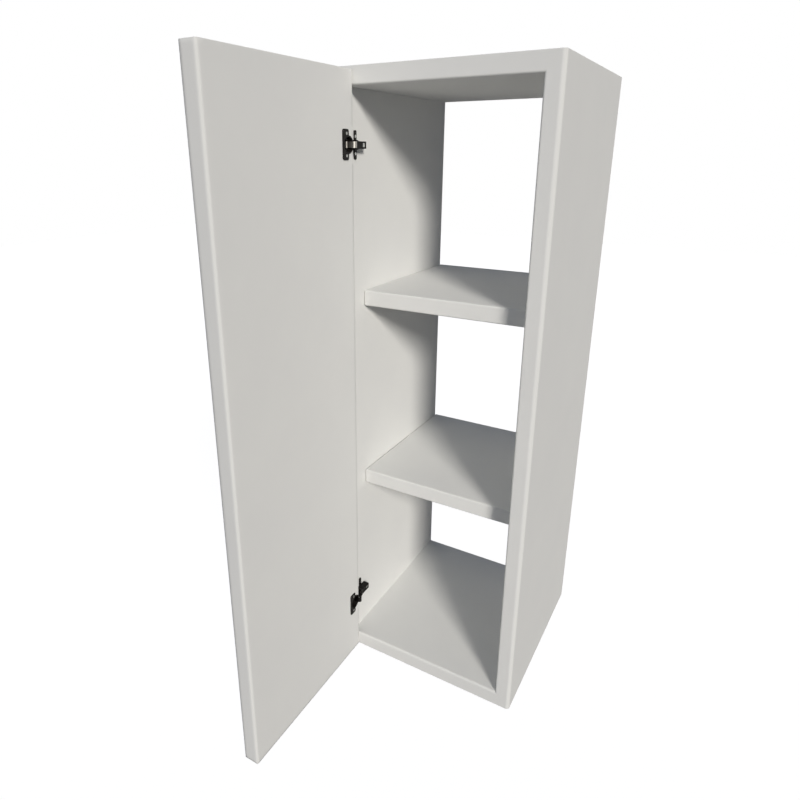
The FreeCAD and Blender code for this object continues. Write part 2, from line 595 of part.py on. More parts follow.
# Keyhole plates let into the rear edges of the sides: the cabinet drops onto two wall screws.
# They are drawn with X to the right, Y up and Z into the board.
hanger_screws = []
for side in ("left", "right"):
    middle_x = f"places.{side}_middle"
    plate = slab(
        f"{side}_hanger_blank",
        "sizes.hanger_plate_width",
        "places.hanger_height",
        "sizes.hanger_plate_thickness",
        [(["x- y-", "x- y+", "x+ y-", "x+ y+"], "sizes.hanger_corner_radius")],
        "-sizes.hanger_plate_width / 2",
        "places.hanger_low_end",
    )
    through = "sizes.hanger_plate_thickness"
    entry = rod(f"{side}_keyhole_entry", "sizes.keyhole_entry_radius", through)
    slot = block(
        f"{side}_keyhole_slot",
        "2 * sizes.keyhole_slot_radius",
        "sizes.keyhole_slot_rise",
        through,
        "-sizes.keyhole_slot_radius",
    )
    slot_end = rod(
        f"{side}_keyhole_end", "sizes.keyhole_slot_radius", through, y="sizes.keyhole_slot_rise"
    )
    tools = [entry, slot, slot_end]
    for end in ("low", "high"):
        screw_y = f"places.hanger_{end}_screw"
        name = f"{side}_{end}_hanger_screw"
        screw_sizes = ("sizes.hanger_screw_head_radius", "sizes.hanger_screw_radius", through)
        tools.append(countersink(name + "_sink", *screw_sizes, y=screw_y, turn=TURNED_OVER))
        screw = wood_screw(name, *screw_sizes, "sizes.hanger_screw_length")
        hanger_screws.append(place(screw, middle_x, "0", screw_y, TO_REAR))
        side_holes[side].append(
            pilot(
                name + "_pilot",
                "sizes.hanger_screw_radius",
                "sizes.hanger_screw_length",
                middle_x,
                "-sizes.hanger_plate_thickness",
                screw_y,
                TO_FRONT,
            )
        )
    keep(f"{side}_hanger_plate", place(cut(f"{side}_hanger", plate, tools), middle_x, turn=TO_FRONT))

    housing = slab(
        f"{side}_hanger_housing",
        "sizes.hanger_plate_width + 2 * sizes.hanger_fit_gap",
        "places.hanger_height + 2 * sizes.hanger_fit_gap",
        "sizes.hanger_plate_thickness",
        [(["x- y-", "x- y+", "x+ y-", "x+ y+"], "sizes.hanger_corner_radius")],
        f"{middle_x} - sizes.hanger_plate_width / 2 - sizes.hanger_fit_gap",
        "0",
        "places.hanger_low_end - sizes.hanger_fit_gap",
        TO_FRONT,
    )
    room = slab(
        f"{side}_keyhole_room",
        "2 * places.keyhole_room_half",
        "sizes.keyhole_slot_rise + 2 * places.keyhole_room_half",
        "sizes.hanger_plate_thickness + sizes.keyhole_room_depth",
        [(["x- y-", "x- y+", "x+ y-", "x+ y+"], "sizes.keyhole_entry_radius")],
        f"{middle_x} - places.keyhole_room_half",
        "0",
        "-places.keyhole_room_half",
        TO_FRONT,
    )
    side_holes[side] += [housing, room]
keep("hanger_screws", group("hanger_screw_set", hanger_screws))

# Hinge mounting plates: a block with a round boss at its front and a wing above and below it, screwed to
# the left side's inner face. The bright arm lies on the block under a dark cover and hooks round the
# door's edge into the cup.
plate_screws = []
fixing_screws = []
adjusting_screws = []
for level in ("upper", "lower"):
    middle_z = f"places.{level}_hinge_z"
    arm_base = f"{middle_z} - places.arm_half"
    wing = slab(
        f"{level}_wing",
        "sizes.wing_thickness",
        "sizes.wing_width",
        "places.wing_height",
        [(["y- z+", "y+ z+", "y- z-", "y+ z-"], "sizes.wing_corner_radius")],
        "places.left_inner",
        "places.wing_y - sizes.wing_width / 2",
        f"{middle_z} - places.wing_height / 2",
    )
    seat_height = "places.arm_under - places.left_inner"
    seat = block(
        f"{level}_plate_block",
        seat_height,
        "places.arm_end - places.boss_y",
        "sizes.plate_block_width",
        "places.left_inner",
        "places.boss_y",
        f"{middle_z} - sizes.plate_block_width / 2",
    )
    at_boss = ("places.left_inner", "places.boss_y", middle_z, ALONG_X)
    boss = rod(f"{level}_plate_boss", "sizes.boss_radius", seat_height, *at_boss)
    tools = []
    for end, sign in (("high", "+"), ("low", "-")):
        name = f"{level}_{end}_plate_screw"
        screw_z = f"{middle_z} {sign} sizes.plate_screw_spacing / 2"
        screw_sizes = ("sizes.plate_screw_head_radius", "sizes.plate_screw_radius", "sizes.wing_thickness")
        on_wing = ("places.wing_upper", "places.wing_y", screw_z, ALONG_X)
        tools.append(countersink(name + "_sink", *screw_sizes, *on_wing))
        screw = wood_screw(name, *screw_sizes, "sizes.plate_screw_length")
        plate_screws.append(place(screw, *on_wing))
        side_holes["left"].append(
            pilot(
                name + "_pilot",
                "sizes.plate_screw_radius",
                "sizes.plate_screw_length",
                "places.left_inner - sizes.plate_screw_length - sizes.pilot_end_gap",
                "places.wing_y",
                screw_z,
                ALONG_X,
            )
        )

    # Two machine screws go through the arm into the block: one holds it, the other sets it in or out.
    arm_holes = []
    for use, screws in (("fixing", fixing_screws), ("adjusting", adjusting_screws)):
        name = f"{level}_{use}_screw"
        screw_y = f"places.{use}_screw_y"
        thread_start = "places.arm_upper - sizes.arm_screw_length"
        head_radius = "sizes.arm_screw_head_radius"
        shank_length = "sizes.arm_screw_length"
        head = rod(name + "_head", head_radius, "sizes.arm_screw_head_height")
        shank = rod(name + "_shank", "sizes.arm_screw_radius", shank_length, z=f"-{shank_length}")
        recess = driver_cross(name + "_recess", head_radius, "sizes.recess_width", "sizes.recess_depth")
        place(recess, z="sizes.arm_screw_head_height")
        screw = cut(name, join(name + "_blank", [head, shank]), [recess])
        screws.append(place(screw, "places.arm_upper", screw_y, middle_z, ALONG_X))
        hole = rod(
            name + "_hole",
            "places.arm_screw_hole_radius",
            "sizes.arm_screw_length + sizes.pilot_end_gap",
            f"{thread_start} - sizes.pilot_end_gap",
            screw_y,
            middle_z,
            ALONG_X,
        )
        tools.append(hole)
        arm_holes.append(hole)
    plate_blank = join(f"{level}_plate_blank", [wing, seat, boss])
    keep(f"{level}_mounting_plate", cut(f"{level}_plate", plate_blank, tools))

    # The arm is one bent strip: eye, root, tight bend, goose-neck, return bend and straight tail.
    bends = [
        (
            "corner",
            "places.neck_corner_x",
            "places.neck_corner_y",
            "sizes.neck_corner_radius",
            "places.neck_corner_outer",
            "sizes.neck_root_angle - 90",
            "90 + places.neck_corner_angle",
        ),
        (
            "neck",
            "places.pivot_x",
            "places.pivot_y",
            "places.neck_inner_radius",
            "places.neck_outer_radius",
            "places.neck_start_angle",
            "sizes.neck_end_angle - places.neck_start_angle",
        ),
        (
            "return",
            "places.neck_back_x",
            "places.neck_back_y",
            "sizes.neck_back_radius",
            "places.neck_back_outer",
            "180",
            "sizes.neck_end_angle",
        ),
    ]
    strip = []
    for bend, centre_x, centre_y, inner, outer, start, sweep in bends:
        name = f"{level}_arm_{bend}"
        sector = rod(name + "_outside", outer, "sizes.arm_width", centre_x, centre_y, arm_base)
        bind(sector, Angle=sweep)
        sector.setExpression("Placement.Rotation.Angle", start)
        core = rod(name + "_inside", inner, "sizes.arm_width", centre_x, centre_y, arm_base)
        strip.append(cut(name, sector, [core]))
    root = block(
        f"{level}_arm_root",
        "places.neck_corner_run",
        "sizes.arm_thickness",
        "sizes.arm_width",
        "places.root_x",
        "places.root_y",
        arm_base,
    )
    root.setExpression("Placement.Rotation.Angle", "sizes.neck_root_angle")
    at_pivot = ("places.pivot_x", "places.pivot_y", arm_base)
    eye = rod(f"{level}_arm_eye", "sizes.knuckle_radius", "sizes.arm_width", *at_pivot)
    tail = block(
        f"{level}_arm_tail",
        "sizes.arm_thickness",
        "places.arm_end - places.neck_back_y",
        "sizes.arm_width",
        "places.arm_under",
        "places.neck_back_y",
        arm_base,
    )
    pin_bore_radius = "sizes.pivot_pin_radius + sizes.pivot_running_gap"
    pin_bore = rod(f"{level}_arm_pin_bore", pin_bore_radius, "sizes.arm_width", *at_pivot)
    arm_blank = join(f"{level}_arm_blank", [eye, root] + strip + [tail])
    keep(f"{level}_hinge_arm", cut(f"{level}_arm", arm_blank, [pin_bore] + arm_holes))

    # The cover snaps over the arm and block, open towards the door, with a window over the fixing screw.
    # Its front flares out over the boss.
    shell = slab(
        f"{level}_cover_shell",
        "places.cover_upper - places.wing_upper",
        "places.cover_end - places.cover_start",
        "2 * places.cover_half",
        [(["x+ z+", "x+ z-", "x+ y+", "y+ z+", "y+ z-"], "sizes.cover_edge_radius")],
        "places.wing_upper",
        "places.cover_start",
        f"{middle_z} - places.cover_half",
    )
    flare = rod(
        f"{level}_cover_flare",
        "sizes.boss_radius",
        "places.cover_upper - places.arm_under",
        "places.arm_under",
        "places.boss_y",
        middle_z,
        ALONG_X,
    )
    flare_front = block(
        f"{level}_cover_flare_front",
        "places.cover_upper - places.arm_under",
        "sizes.boss_radius",
        "2 * sizes.boss_radius",
        "places.arm_under",
        "places.cover_start - sizes.boss_radius",
        f"{middle_z} - sizes.boss_radius",
    )
    boss_room = rod(f"{level}_cover_boss_room", "sizes.boss_radius + sizes.cover_gap", seat_height, *at_boss)
    hollow = block(
        f"{level}_cover_hollow",
        "places.cover_roof - places.wing_upper",
        "places.cover_end - sizes.cover_wall - places.cover_start",
        "2 * places.cover_inner_half",
        "places.wing_upper",
        "places.cover_start",
        f"{middle_z} - places.cover_inner_half",
    )
    window = block(
        f"{level}_cover_window",
        "sizes.cover_wall",
        "sizes.cover_window_length",
        "sizes.cover_window_height",
        "places.cover_roof",
        "places.fixing_screw_y - sizes.cover_window_length / 2",
        f"{middle_z} - sizes.cover_window_height / 2",
    )
    cover_blank = join(f"{level}_cover_blank", [shell, flare])
    cover = cut(f"{level}_cover", cover_blank, [hollow, window, flare_front, boss_room])
    keep(f"{level}_arm_cover", cover)
keep("mounting_plate_screws", group("plate_screw_set", plate_screws))
keep("arm_fixing_screws", group("fixing_screw_set", fixing_screws))
keep("arm_adjusting_screws", group("adjusting_screw_set", adjusting_screws))

# Hinge cups in the door, each with its flange, two screws, pin and leaf spring.
# They are drawn in the open door's own frame, with the cup's mouth centre at the origin.
door_holes = []
cup_screws = []
pivot_pins = []
for level in ("upper", "lower"):
    on_door = ("places.door_inner_x", "places.cup_y", f"places.{level}_hinge_z", ON_DOOR)
    barrel = rod(f"{level}_cup_barrel", "places.cup_outer_radius", "sizes.cup_depth", z="-sizes.cup_depth")
    rim = rod(f"{level}_cup_rim", "places.cup_rim_radius", "sizes.flange_thickness")
    flange = slab(
        f"{level}_cup_flange",
        "sizes.flange_width",
        "places.flange_height",
        "sizes.flange_thickness",
        [(["x- y-", "x- y+", "x+ y-", "x+ y+"], "sizes.flange_corner_radius")],
        "sizes.flange_offset - sizes.flange_width / 2",
        "-places.flange_height / 2",
    )
    cavity = rod(
        f"{level}_cup_cavity",
        "places.cup_inner_radius",
        "sizes.cup_depth + sizes.flange_thickness",
        z="places.cup_floor",
    )
    tools = [cavity]
    for end, screw_y in (("high", "-places.cup_screw_offset"), ("low", "places.cup_screw_offset")):
        name = f"{level}_{end}_cup_screw"
        screw_sizes = ("sizes.cup_screw_head_radius", "sizes.cup_screw_radius", "sizes.flange_thickness")
        on_flange = ("sizes.cup_screw_setback", screw_y, "sizes.flange_thickness")
        tools.append(countersink(name + "_sink", *screw_sizes, *on_flange))
        screw = place(wood_screw(name, *screw_sizes, "sizes.cup_screw_length"), *on_flange)
        cup_screws.append(place(group(name + "_placed", [screw]), *on_door))
        hole = pilot(
            name + "_pilot",
            "sizes.cup_screw_radius",
            "sizes.cup_screw_length",
            "sizes.cup_screw_setback",
            screw_y,
            "-sizes.cup_screw_length - sizes.pilot_end_gap",
        )
        door_holes.append(place(group(name + "_pilot_placed", [hole]), *on_door))
    bore = rod(f"{level}_cup_bore", "sizes.cup_radius", "sizes.cup_depth", z="-sizes.cup_depth")
    door_holes.append(place(group(f"{level}_cup_bore_placed", [bore]), *on_door))
    ears = []
    for end, start in (("high", "-places.ear_end"), ("low", "places.ear_start")):
        ear = block(
            f"{level}_{end}_ear_block",
            "2 * places.ear_half",
            "sizes.ear_thickness",
            "places.ear_half - sizes.pivot_depth - places.cup_floor",
            "-places.pivot_to_cup - places.ear_half",
            start,
            "places.cup_floor",
        )
        room_name = f"{level}_{end}_ear_room"
        room = rod(room_name, "places.cup_outer_radius", "sizes.cup_depth", z="-sizes.cup_depth")
        trimmed = doc.addObject("Part::Common", f"{level}_{end}_ear")
        trimmed.Base = ear
        trimmed.Tool = room
        ears.append(trimmed)
    pin_hole = rod(
        f"{level}_ear_hole",
        "sizes.pivot_pin_radius + sizes.pivot_running_gap",
        "2 * places.pin_half",
        "-places.pivot_to_cup",
        "-places.pin_half",
        "-sizes.pivot_depth",
        TO_REAR,
    )
    dished = cut(f"{level}_cup_dished", join(f"{level}_cup_blank", [barrel, rim, flange]), tools)
    cup = cut(f"{level}_cup", join(f"{level}_cup_with_ears", [dished] + ears), [pin_hole])
    keep(f"{level}_hinge_cup", place(cup, *on_door))

    pin = rod(
        f"{level}_pin",
        "sizes.pivot_pin_radius",
        "2 * places.pin_half",
        "places.pivot_x",
        "places.pivot_y",
        f"places.{level}_hinge_z - places.pin_half",
    )
    pivot_pins.append(pin)

    # The leaf lies along the cup's floor, slopes up and runs flat under the arm's eye.
    leaf_side = "-sizes.spring_width / 2"
    tail = block(
        f"{level}_spring_tail",
        "sizes.spring_tail",
        "sizes.spring_width",
        "sizes.spring_thickness",
        "0",
        leaf_side,
        "places.cup_floor",
    )
    slope = block(
        f"{level}_spring_slope",
        "places.spring_slope_length",
        "sizes.spring_width",
        "sizes.spring_thickness",
        "places.spring_bend",
        leaf_side,
        "places.spring_under",
        FreeCAD.Rotation(FreeCAD.Vector(0, 1, 0), 1),
    )
    slope.setExpression("Placement.Rotation.Angle", "places.spring_slope")
    tongue = block(
        f"{level}_spring_tongue",
        "2 * sizes.knuckle_radius + sizes.spring_thickness",
        "sizes.spring_width",
        "sizes.spring_thickness",
        "-places.pivot_to_cup - sizes.knuckle_radius",
        leaf_side,
        "places.spring_under",
    )
    leaf = join(f"{level}_spring", [tail, slope, tongue])
    keep(f"{level}_closing_spring", place(leaf, *on_door))
keep("hinge_cup_screws", group("cup_screw_set", cup_screws))
keep("hinge_pivot_pins", group("pivot_pin_set", pivot_pins))

# The door is a plain slab with rounded upright edges and square-cut ends, bored for the two hinge cups.
door_blank = slab(
    "door_blank",
    "sizes.door_board",
    "places.door_width",
    "places.door_height",
    [
        (["x- y-", "x+ y-", "x- y+"], "sizes.door_edge_radius"),
        (["x+ y+"], "sizes.hinge_edge_radius"),
        (["z+"], "sizes.top_easing"),
        (["z-"], "sizes.foot_easing"),
    ],
    "places.door_inner_x - sizes.door_board",
    "places.door_hinge_edge_y - places.door_width",
    "places.door_bottom",
)
keep("door_panel", cut("door", door_blank, door_holes))

# Sides run the full height. Their inner front edges are rounded between the top and bottom panels, and
# that rounding is mitred into the panels' own, so that the front of the carcass stays flush at the corners.
ROUND_X = {
    "left": "places.left_inner - sizes.inner_edge_radius",
    "right": "places.right_inner + sizes.inner_edge_radius",
}
CORNER_X = {"left": ROUND_X["left"], "right": "places.right_inner"}
for side, outer in (("left", "x-"), ("right", "x+")):
    blank = slab(
        f"{side}_side_blank",
        "sizes.board",
        "sizes.carcass_depth",
        "sizes.carcass_height",
        [
            ([f"{outer} y-"], "sizes.edge_radius"),
            (["y- z+", f"{outer} z+"], "sizes.top_easing"),
            (["y- z-", f"{outer} z-"], "sizes.foot_easing"),
        ],
        "places.left_face" if side == "left" else "places.right_inner",
        "places.front_face",
        "places.bottom_face",
    )
    mitred_height = "places.inner_height + 2 * sizes.inner_edge_radius"
    low_end = "places.bottom_upper - sizes.inner_edge_radius"
    high_end = "places.top_under + sizes.inner_edge_radius"
    round_y = "places.front_face + sizes.inner_edge_radius"
    radius = "sizes.inner_edge_radius"
    corner = block(
        f"{side}_inner_corner",
        "sizes.inner_edge_radius",
        "sizes.inner_edge_radius",
        mitred_height,
        CORNER_X[side],
        "places.front_face",
        low_end,
    )
    upright = rod(f"{side}_inner_round", radius, mitred_height, ROUND_X[side], round_y, low_end)
    high_mitre = rod(f"{side}_high_mitre", radius, radius, CORNER_X[side], round_y, high_end, ALONG_X)
    low_mitre = rod(f"{side}_low_mitre", radius, radius, CORNER_X[side], round_y, low_end, ALONG_X)
    rounding = cut(f"{side}_inner_rounding", corner, [upright, high_mitre, low_mitre])
    keep(f"{side}_side", cut(f"{side}_panel", blank, side_holes[side] + [rounding]))

# The top and bottom panels butt between the sides, with the front edge towards the opening rounded.
for panel, base, inner, outer, easing in (
    ("top", "places.top_under", "z-", "z+", "sizes.top_easing"),
    ("bottom", "places.bottom_face", "z+", "z-", "sizes.foot_easing"),
):
    blank = slab(
        f"{panel}_panel_blank",
        "places.inner_width",
        "sizes.carcass_depth",
        "sizes.board",
        [([f"y- {inner}"], "sizes.inner_edge_radius"), ([f"y- {outer}"], easing)],
        "places.left_inner",
        "places.front_face",
        base,
    )
    keep(f"{panel}_panel", cut(f"{panel}_board", blank, panel_holes[panel]))

doc.recompute()

# Every object has to be sound before anything is written.
for obj in doc.Objects:
    if "Invalid" in obj.State or "Error" in obj.State:
        raise RuntimeError(f"{obj.Name} failed: {obj.State}")
for obj in nodes:
    if obj.Shape.isNull() or not obj.Shape.isValid():
        raise RuntimeError(f"{obj.Label} has no valid shape")

os.makedirs("parts", exist_ok=True)
for obj in nodes:
    obj.Shape.exportStep(f"parts/{obj.Label}.step")
    print(f"{obj.Label}: {len(obj.Shape.Solids)} solids, {obj.Shape.Volume:.1f} mm3")
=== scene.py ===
import json
import math

import bmesh
import bpy
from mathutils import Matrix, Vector


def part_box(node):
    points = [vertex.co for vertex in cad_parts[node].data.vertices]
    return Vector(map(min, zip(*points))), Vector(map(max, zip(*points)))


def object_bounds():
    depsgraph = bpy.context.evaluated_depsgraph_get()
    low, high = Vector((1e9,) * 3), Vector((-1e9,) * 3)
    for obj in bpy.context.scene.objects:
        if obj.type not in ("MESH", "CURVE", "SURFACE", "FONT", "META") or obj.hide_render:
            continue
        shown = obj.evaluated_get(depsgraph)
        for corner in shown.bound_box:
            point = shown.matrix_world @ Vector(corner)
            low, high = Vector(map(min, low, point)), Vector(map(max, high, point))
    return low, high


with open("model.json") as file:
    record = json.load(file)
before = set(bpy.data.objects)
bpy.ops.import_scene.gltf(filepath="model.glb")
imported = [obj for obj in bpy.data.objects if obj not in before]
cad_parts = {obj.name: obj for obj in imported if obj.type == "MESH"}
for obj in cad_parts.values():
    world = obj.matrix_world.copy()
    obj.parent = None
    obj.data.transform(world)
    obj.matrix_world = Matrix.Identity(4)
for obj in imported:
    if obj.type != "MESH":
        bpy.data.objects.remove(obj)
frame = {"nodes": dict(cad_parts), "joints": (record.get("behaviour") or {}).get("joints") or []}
cad_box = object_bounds()

# Carcass boards: two full-height sides, with the top and bottom panels butted between them.
# They are fibreboard, 23 mm with its coats, with routed edges and a matt off-white lacquer sprayed all over.
# Dowels and cam fittings hold them together, so no joint or screw shows from the front.


def linear(hex_colour):
    """Turn an sRGB hex colour into the linear RGBA that shader sockets take."""
    channels = [int(hex_colour[i : i + 2], 16) / 255 for i in (1, 3, 5)]
    return [c / 12.92 if c <= 0.04045 else ((c + 0.055) / 1.055) ** 2.4 for c in channels] + [1]


def add_node(owner, kind, settings, links=None):
    """Add a shader node to a material or the world.

    Settings go to its sockets or properties, and links join its sockets to outputs.
    A socket goes by its name, or by its place in the row where several share a name.
    """
    tree = owner.node_tree
    node = tree.nodes.new(kind)
    for name, value in settings.items():
        if isinstance(name, int) or name in node.inputs:
            node.inputs[name].default_value = value
        else:
            setattr(node, name, value)
    for name, output in (links or {}).items():
        tree.links.new(output, node.inputs[name])
    return node


def new_material(name):
    """Start an empty node material."""
    material = bpy.data.materials.new(name)
    material.use_nodes = True
    material.node_tree.nodes.clear()
    return material


def coat(material, *nodes):
    """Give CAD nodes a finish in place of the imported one."""
    for node in nodes:
        for slot in frame["nodes"][node].material_slots:
            slot.material = material


# Sprayed lacquer dries with a faint orange-peel skin, and its tone and gloss drift over a hand's breadth.
# Round the routed edges the colour is painted a shade darker: painted shade that tones down the highlight those
# edges catch.
# The real skin has a pitch of about 1 mm: it is drawn at 3 mm so that it shows in the render.
LACQUER = "#E4E4E1"
LACQUER_DRIFT = "#DFDFDD"
LACQUER_DRIFT_SIZE = 0.09
LACQUER_GLOSSIEST = 0.66
LACQUER_DULLEST = 0.78
LACQUER_SHEEN = 0.005
LACQUER_EDGE_SHADE = "#DADAD7"
EDGE_SHADE_AMOUNT = 0.6
ORANGE_PEEL_PITCH = 0.003
ORANGE_PEEL_HEIGHT = 0.00002

lacquer = new_material("matt_lacquer_on_fibreboard")
place = add_node(lacquer, "ShaderNodeTexCoord", {})
drift = add_node(
    lacquer,
    "ShaderNodeTexNoise",
    {"Scale": 1 / LACQUER_DRIFT_SIZE, "Detail": 3.0, "Roughness": 0.55},
    {"Vector": place.outputs["Object"]},
)
drift_colour = add_node(
    lacquer,
    "ShaderNodeMix",
    {"data_type": "RGBA", "A": linear(LACQUER), "B": linear(LACQUER_DRIFT)},
    {"Factor": drift.outputs["Fac"]},
)

# On a flat face the normal lies along one axis: its largest part is 1 there and 0.7 in the middle of an edge.
FLAT_FACE = 0.99
MIDDLE_OF_EDGE = 0.75

normal_size = add_node(
    lacquer, "ShaderNodeVectorMath", {"operation": "ABSOLUTE"}, {"Vector": place.outputs["Normal"]}
)
normal_parts = add_node(lacquer, "ShaderNodeSeparateXYZ", {}, {"Vector": normal_size.outputs["Vector"]})
larger_part = add_node(
    lacquer,
    "ShaderNodeMath",
    {"operation": "MAXIMUM"},
    {0: normal_parts.outputs["X"], 1: normal_parts.outputs["Y"]},
)
largest_part = add_node(
    lacquer,
    "ShaderNodeMath",
    {"operation": "MAXIMUM"},
    {0: larger_part.outputs["Value"], 1: normal_parts.outputs["Z"]},
)
# Painted shade: the rounded edges are mixed towards the darker edge tone.
painted_edge_shade = add_node(
    lacquer,
    "ShaderNodeMapRange",
    {"From Min": FLAT_FACE, "From Max": MIDDLE_OF_EDGE, "To Max": EDGE_SHADE_AMOUNT},
    {"Value": largest_part.outputs["Value"]},
)
lacquer_colour = add_node(
    lacquer,
    "ShaderNodeMix",
    {"data_type": "RGBA", "B": linear(LACQUER_EDGE_SHADE)},
    {"Factor": painted_edge_shade.outputs["Result"], "A": drift_colour.outputs["Result"]},
)
gloss_drift = add_node(
    lacquer,
    "ShaderNodeMapRange",
    {"To Min": LACQUER_GLOSSIEST, "To Max": LACQUER_DULLEST},
    {"Value": drift.outputs["Fac"]},
)
orange_peel = add_node(
    lacquer,
    "ShaderNodeTexNoise",
    {"Scale": 1 / ORANGE_PEEL_PITCH, "Detail": 2.0},
    {"Vector": place.outputs["Object"]},
)
lacquer_skin = add_node(
    lacquer,
    "ShaderNodeBump",
    {"Strength": 0.35, "Distance": ORANGE_PEEL_HEIGHT},
    {"Height": orange_peel.outputs["Fac"]},
)
lacquer_film = add_node(
    lacquer,
    "ShaderNodeBsdfPrincipled",
    {"IOR": 1.5, "Specular IOR Level": LACQUER_SHEEN},
    {
        "Base Color": lacquer_colour.outputs["Result"],
        "Roughness": gloss_drift.outputs["Result"],
        "Normal": lacquer_skin.outputs["Normal"],
    },
)
add_node(lacquer, "ShaderNodeOutputMaterial", {}, {"Surface": lacquer_film.outputs["BSDF"]})
coat(lacquer, "left_side", "right_side", "top_panel", "bottom_panel")

# Dowels: fluted beech pegs, glued into the ends of the top and bottom panels, which they locate on the sides.
# Beech is pale tan with short darker flecks along the grain, which runs along each peg.
# The pegs are hidden once the carcass is together.
BEECH = "#C9A77C"
BEECH_FLECK = "#A67E55"
BEECH_FLECK_LENGTH = 0.004
BEECH_FLECK_WIDTH = 0.0005
BEECH_PORE_DEPTH = 0.0001

beech = new_material("beech")
place = add_node(beech, "ShaderNodeTexCoord", {})
grain = add_node(
    beech,
    "ShaderNodeMapping",
    {"Scale": (1 / BEECH_FLECK_LENGTH, 1 / BEECH_FLECK_WIDTH, 1 / BEECH_FLECK_WIDTH)},
    {"Vector": place.outputs["Object"]},
)
flecks = add_node(
    beech, "ShaderNodeTexNoise", {"Scale": 1.0, "Detail": 3.0}, {"Vector": grain.outputs["Vector"]}
)
beech_colour = add_node(
    beech,
    "ShaderNodeMix",
    {"data_type": "RGBA", "A": linear(BEECH), "B": linear(BEECH_FLECK)},
    {"Factor": flecks.outputs["Fac"]},
)
pores = add_node(
    beech,
    "ShaderNodeBump",
    {"Strength": 0.4, "Distance": BEECH_PORE_DEPTH},
    {"Height": flecks.outputs["Fac"]},
)
wood = add_node(
    beech,
    "ShaderNodeBsdfPrincipled",
    {"Roughness": 0.7, "IOR": 1.5},
    {"Base Color": beech_colour.outputs["Result"], "Normal": pores.outputs["Normal"]},
)
add_node(beech, "ShaderNodeOutputMaterial", {}, {"Surface": wood.outputs["BSDF"]})
coat(beech, "carcass_dowels")

# Cam housings: zinc die castings, pressed into bores in the top and bottom panels.
# A turn with a driver draws in the head of a bolt and clamps the joint.
# They are left as cast: a dull grey with a fine grainy skin.
CAST_ZINC = "#9C9D9E"
CAST_ZINC_DULL = "#7E7F81"
CAST_GRAIN = 0.0008
CAST_GRAIN_HEIGHT = 0.00005

cast_zinc = new_material("zinc_die_casting")
place = add_node(cast_zinc, "ShaderNodeTexCoord", {})
cast_grain = add_node(
    cast_zinc,
    "ShaderNodeTexNoise",
    {"Scale": 1 / CAST_GRAIN, "Detail": 4.0},
    {"Vector": place.outputs["Object"]},
)
cast_colour = add_node(
    cast_zinc,
    "ShaderNodeMix",
    {"data_type": "RGBA", "A": linear(CAST_ZINC), "B": linear(CAST_ZINC_DULL)},
    {"Factor": cast_grain.outputs["Fac"]},
)
cast_skin = add_node(
    cast_zinc,
    "ShaderNodeBump",
    {"Strength": 0.5, "Distance": CAST_GRAIN_HEIGHT},
    {"Height": cast_grain.outputs["Fac"]},
)
casting = add_node(
    cast_zinc,
    "ShaderNodeBsdfPrincipled",
    {"Metallic": 1.0, "Roughness": 0.5},
    {"Base Color": cast_colour.outputs["Result"], "Normal": cast_skin.outputs["Normal"]},
)
add_node(cast_zinc, "ShaderNodeOutputMaterial", {}, {"Surface": casting.outputs["BSDF"]})
coat(cast_zinc, "cam_housings")

# Cam bolts, keyhole hanger plates and all the screws: small steel parts, barrel plated with bright zinc.
# Bolts go into the sides, hanger plates into their rear edges, and screws hold the plates and the hinges.
# The plating is silvery with a faint cloudy bloom, blue here and straw there.
ZINC_BLUE = "#C3C9CE"
ZINC_STRAW = "#CFCABB"
ZINC_BLOOM = 0.002
ZINC_GLOSSIEST = 0.2
ZINC_DULLEST = 0.42

zinc = new_material("zinc_plated_steel")
place = add_node(zinc, "ShaderNodeTexCoord", {})
bloom = add_node(
    zinc,
    "ShaderNodeTexNoise",
    {"Scale": 1 / ZINC_BLOOM, "Detail": 3.0},
    {"Vector": place.outputs["Object"]},
)
zinc_colour = add_node(
    zinc,
    "ShaderNodeMix",
    {"data_type": "RGBA", "A": linear(ZINC_BLUE), "B": linear(ZINC_STRAW)},
    {"Factor": bloom.outputs["Fac"]},
)
zinc_gloss = add_node(
    zinc,
    "ShaderNodeMapRange",
    {"To Min": ZINC_GLOSSIEST, "To Max": ZINC_DULLEST},
    {"Value": bloom.outputs["Fac"]},
)
zinc_plate = add_node(
    zinc,
    "ShaderNodeBsdfPrincipled",
    {"Metallic": 1.0},
    {"Base Color": zinc_colour.outputs["Result"], "Roughness": zinc_gloss.outputs["Result"]},
)
add_node(zinc, "ShaderNodeOutputMaterial", {}, {"Surface": zinc_plate.outputs["BSDF"]})
coat(zinc, "cam_bolts", "left_hanger_plate", "right_hanger_plate", "hanger_screws")
coat(zinc, "mounting_plate_screws", "arm_fixing_screws", "arm_adjusting_screws", "hinge_cup_screws")

# Shelf pins: short pegs turned from steel bar, nickel plated and pushed into holes in the sides.
# The plating is pale and a little warm, over fine lines left by the turning tool.
NICKEL = "#C4C1BA"
NICKEL_WORN = "#A9A59D"
NICKEL_GLOSSIEST = 0.34
NICKEL_DULLEST = 0.5
FINE_LINE_PITCH = 0.0006
FINE_LINE_STRETCH = 20

